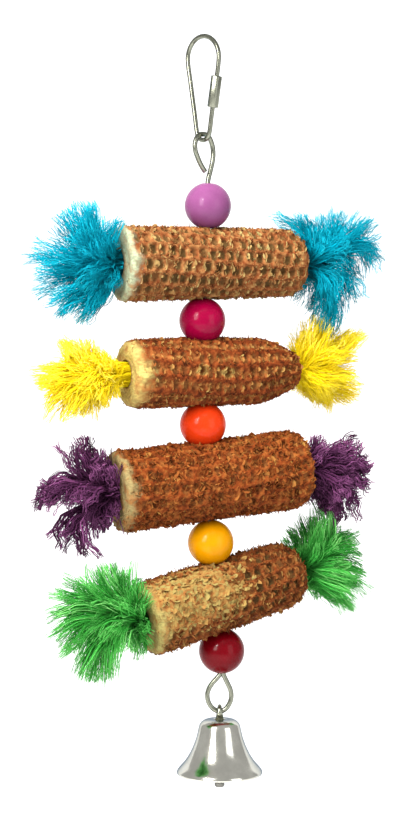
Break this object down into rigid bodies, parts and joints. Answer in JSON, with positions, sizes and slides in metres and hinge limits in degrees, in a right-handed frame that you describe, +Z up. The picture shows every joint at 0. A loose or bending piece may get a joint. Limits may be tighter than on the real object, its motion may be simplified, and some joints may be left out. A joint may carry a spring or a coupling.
{
  "type": "hanging corn cob bird toy",
  "caption": "Hanging chew toy of dried corn cob lengths on a bent wire, with round beads, frayed rope tufts in the cob ends, a screw link above and a bell below.",
  "frame": {"origin": "the point under the middle of the link's top bow that bears on the bar the toy hangs from", "axes": "+Z up along the string, +X to the viewer's right, -Y towards the viewer"},
  "size_m": [0.1209, 0.0778, 0.2595],
  "materials": {
    "link_steel": "nickel plated wire",
    "sleeve_steel": "nickel plated hexagon sleeve",
    "wire_steel": "bright drawn wire",
    "bead_lilac": "gloss lilac",
    "bead_magenta": "gloss magenta",
    "bead_orange": "gloss orange",
    "bead_amber": "gloss amber",
    "bead_red": "gloss dark red",
    "cob": "dry shelled corn cob, red brown chaff over a straw core",
    "rope_blue": "frayed dyed cotton rope",
    "rope_yellow": "frayed dyed cotton rope",
    "rope_purple": "frayed dyed cotton rope",
    "rope_green": "frayed dyed rope",
    "bell_chrome": "polished nickel plate"
  },
  "bodies": {
    "link": {"link": "link_steel"},
    "sleeve": {"link_sleeve": "sleeve_steel"},
    "string": {"wire": "wire_steel", "bead_lilac": "bead_lilac", "bead_magenta": "bead_magenta", "bead_orange": "bead_orange", "bead_amber": "bead_amber", "bead_red": "bead_red", "cob_1": "cob", "cob_2": "cob", "cob_3": "cob", "cob_4": "cob", "tuft_blue_left": "rope_blue", "tuft_blue_right": "rope_blue", "tuft_yellow_left": "rope_yellow", "tuft_yellow_right": "rope_yellow", "tuft_purple_left": "rope_purple", "tuft_purple_right": "rope_purple", "tuft_green_left": "rope_green", "tuft_green_right": "rope_green"},
    "bell": {"bell": "bell_chrome", "bell_staple": "wire_steel"},
    "clapper": {"clapper": "bell_chrome"}
  },
  "joints": [
    {"name": "sleeve_slide", "type": "slide", "parent": "link", "child": "sleeve", "axis": [0.1277, -0.1277, 0.9836], "range_m": [0, 0.0066]},
    {"name": "string_swing", "type": "hinge", "parent": "link", "child": "string", "pos_m": [0, 0, -0.0343], "axis": [0.7071, -0.7071, 0], "range_deg": [-75, 75]},
    {"name": "bell_swing", "type": "hinge", "parent": "string", "child": "bell", "pos_m": [0.0057, 0.0016, -0.2313], "axis": [1, 0, 0], "range_deg": [-75, 75]},
    {"name": "clapper_swing", "type": "hinge", "parent": "bell", "child": "clapper", "pos_m": [0.0057, 0.0016, -0.2386], "axis": [0, 1, 0], "range_deg": [-38, 38]}
  ]
}
